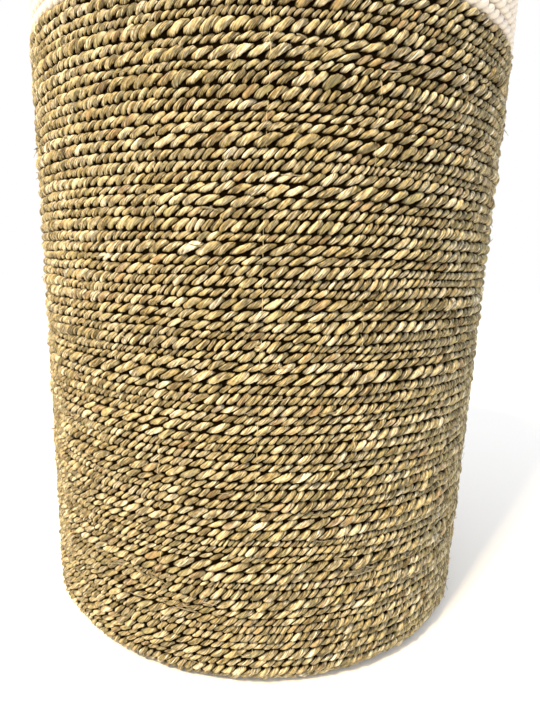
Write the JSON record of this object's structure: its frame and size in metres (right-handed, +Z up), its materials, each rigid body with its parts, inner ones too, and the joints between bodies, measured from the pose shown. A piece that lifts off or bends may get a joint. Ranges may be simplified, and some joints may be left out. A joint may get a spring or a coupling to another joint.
{
  "type": "laundry basket",
  "caption": "Tall round laundry basket of coiled twisted plant-fibre cord, with a white cotton rope band round the top, a bound rim and two rope handles.",
  "frame": {"origin": "centre of the underside, on the surface the basket stands on", "axes": "+Z up, the two handles at +X and -X, +Y towards the back"},
  "size_m": [0.4096, 0.4096, 0.6733],
  "materials": {
    "natural_cord": "matte",
    "cotton_rope": "matte",
    "handle_rope": "matte",
    "cotton_cord": "matte",
    "sewing_thread": "satin"
  },
  "bodies": {
    "root": {"band_coil_01": "cotton_rope", "band_coil_02": "cotton_rope", "band_threads": "sewing_thread", "base_coil_01": "natural_cord", "base_coil_02": "natural_cord", "base_threads": "sewing_thread", "grip_wrap_left": "cotton_cord", "grip_wrap_right": "cotton_cord", "handle_left": "handle_rope", "handle_right": "handle_rope", "heel_coil": "natural_cord", "lashing_left_back": "cotton_cord", "lashing_left_front": "cotton_cord", "lashing_right_back": "cotton_cord", "lashing_right_front": "cotton_cord", "rim_binding": "cotton_cord", "rim_rope": "cotton_rope", "wall_coil_01": "natural_cord", "wall_coil_02": "natural_cord", "wall_coil_03": "natural_cord", "wall_coil_04": "natural_cord", "wall_coil_05": "natural_cord", "wall_coil_06": "natural_cord", "wall_coil_07": "natural_cord", "wall_coil_08": "natural_cord", "wall_coil_09": "natural_cord", "wall_coil_10": "natural_cord", "wall_coil_11": "natural_cord", "wall_threads": "sewing_thread"}
  },
  "joints": []
}
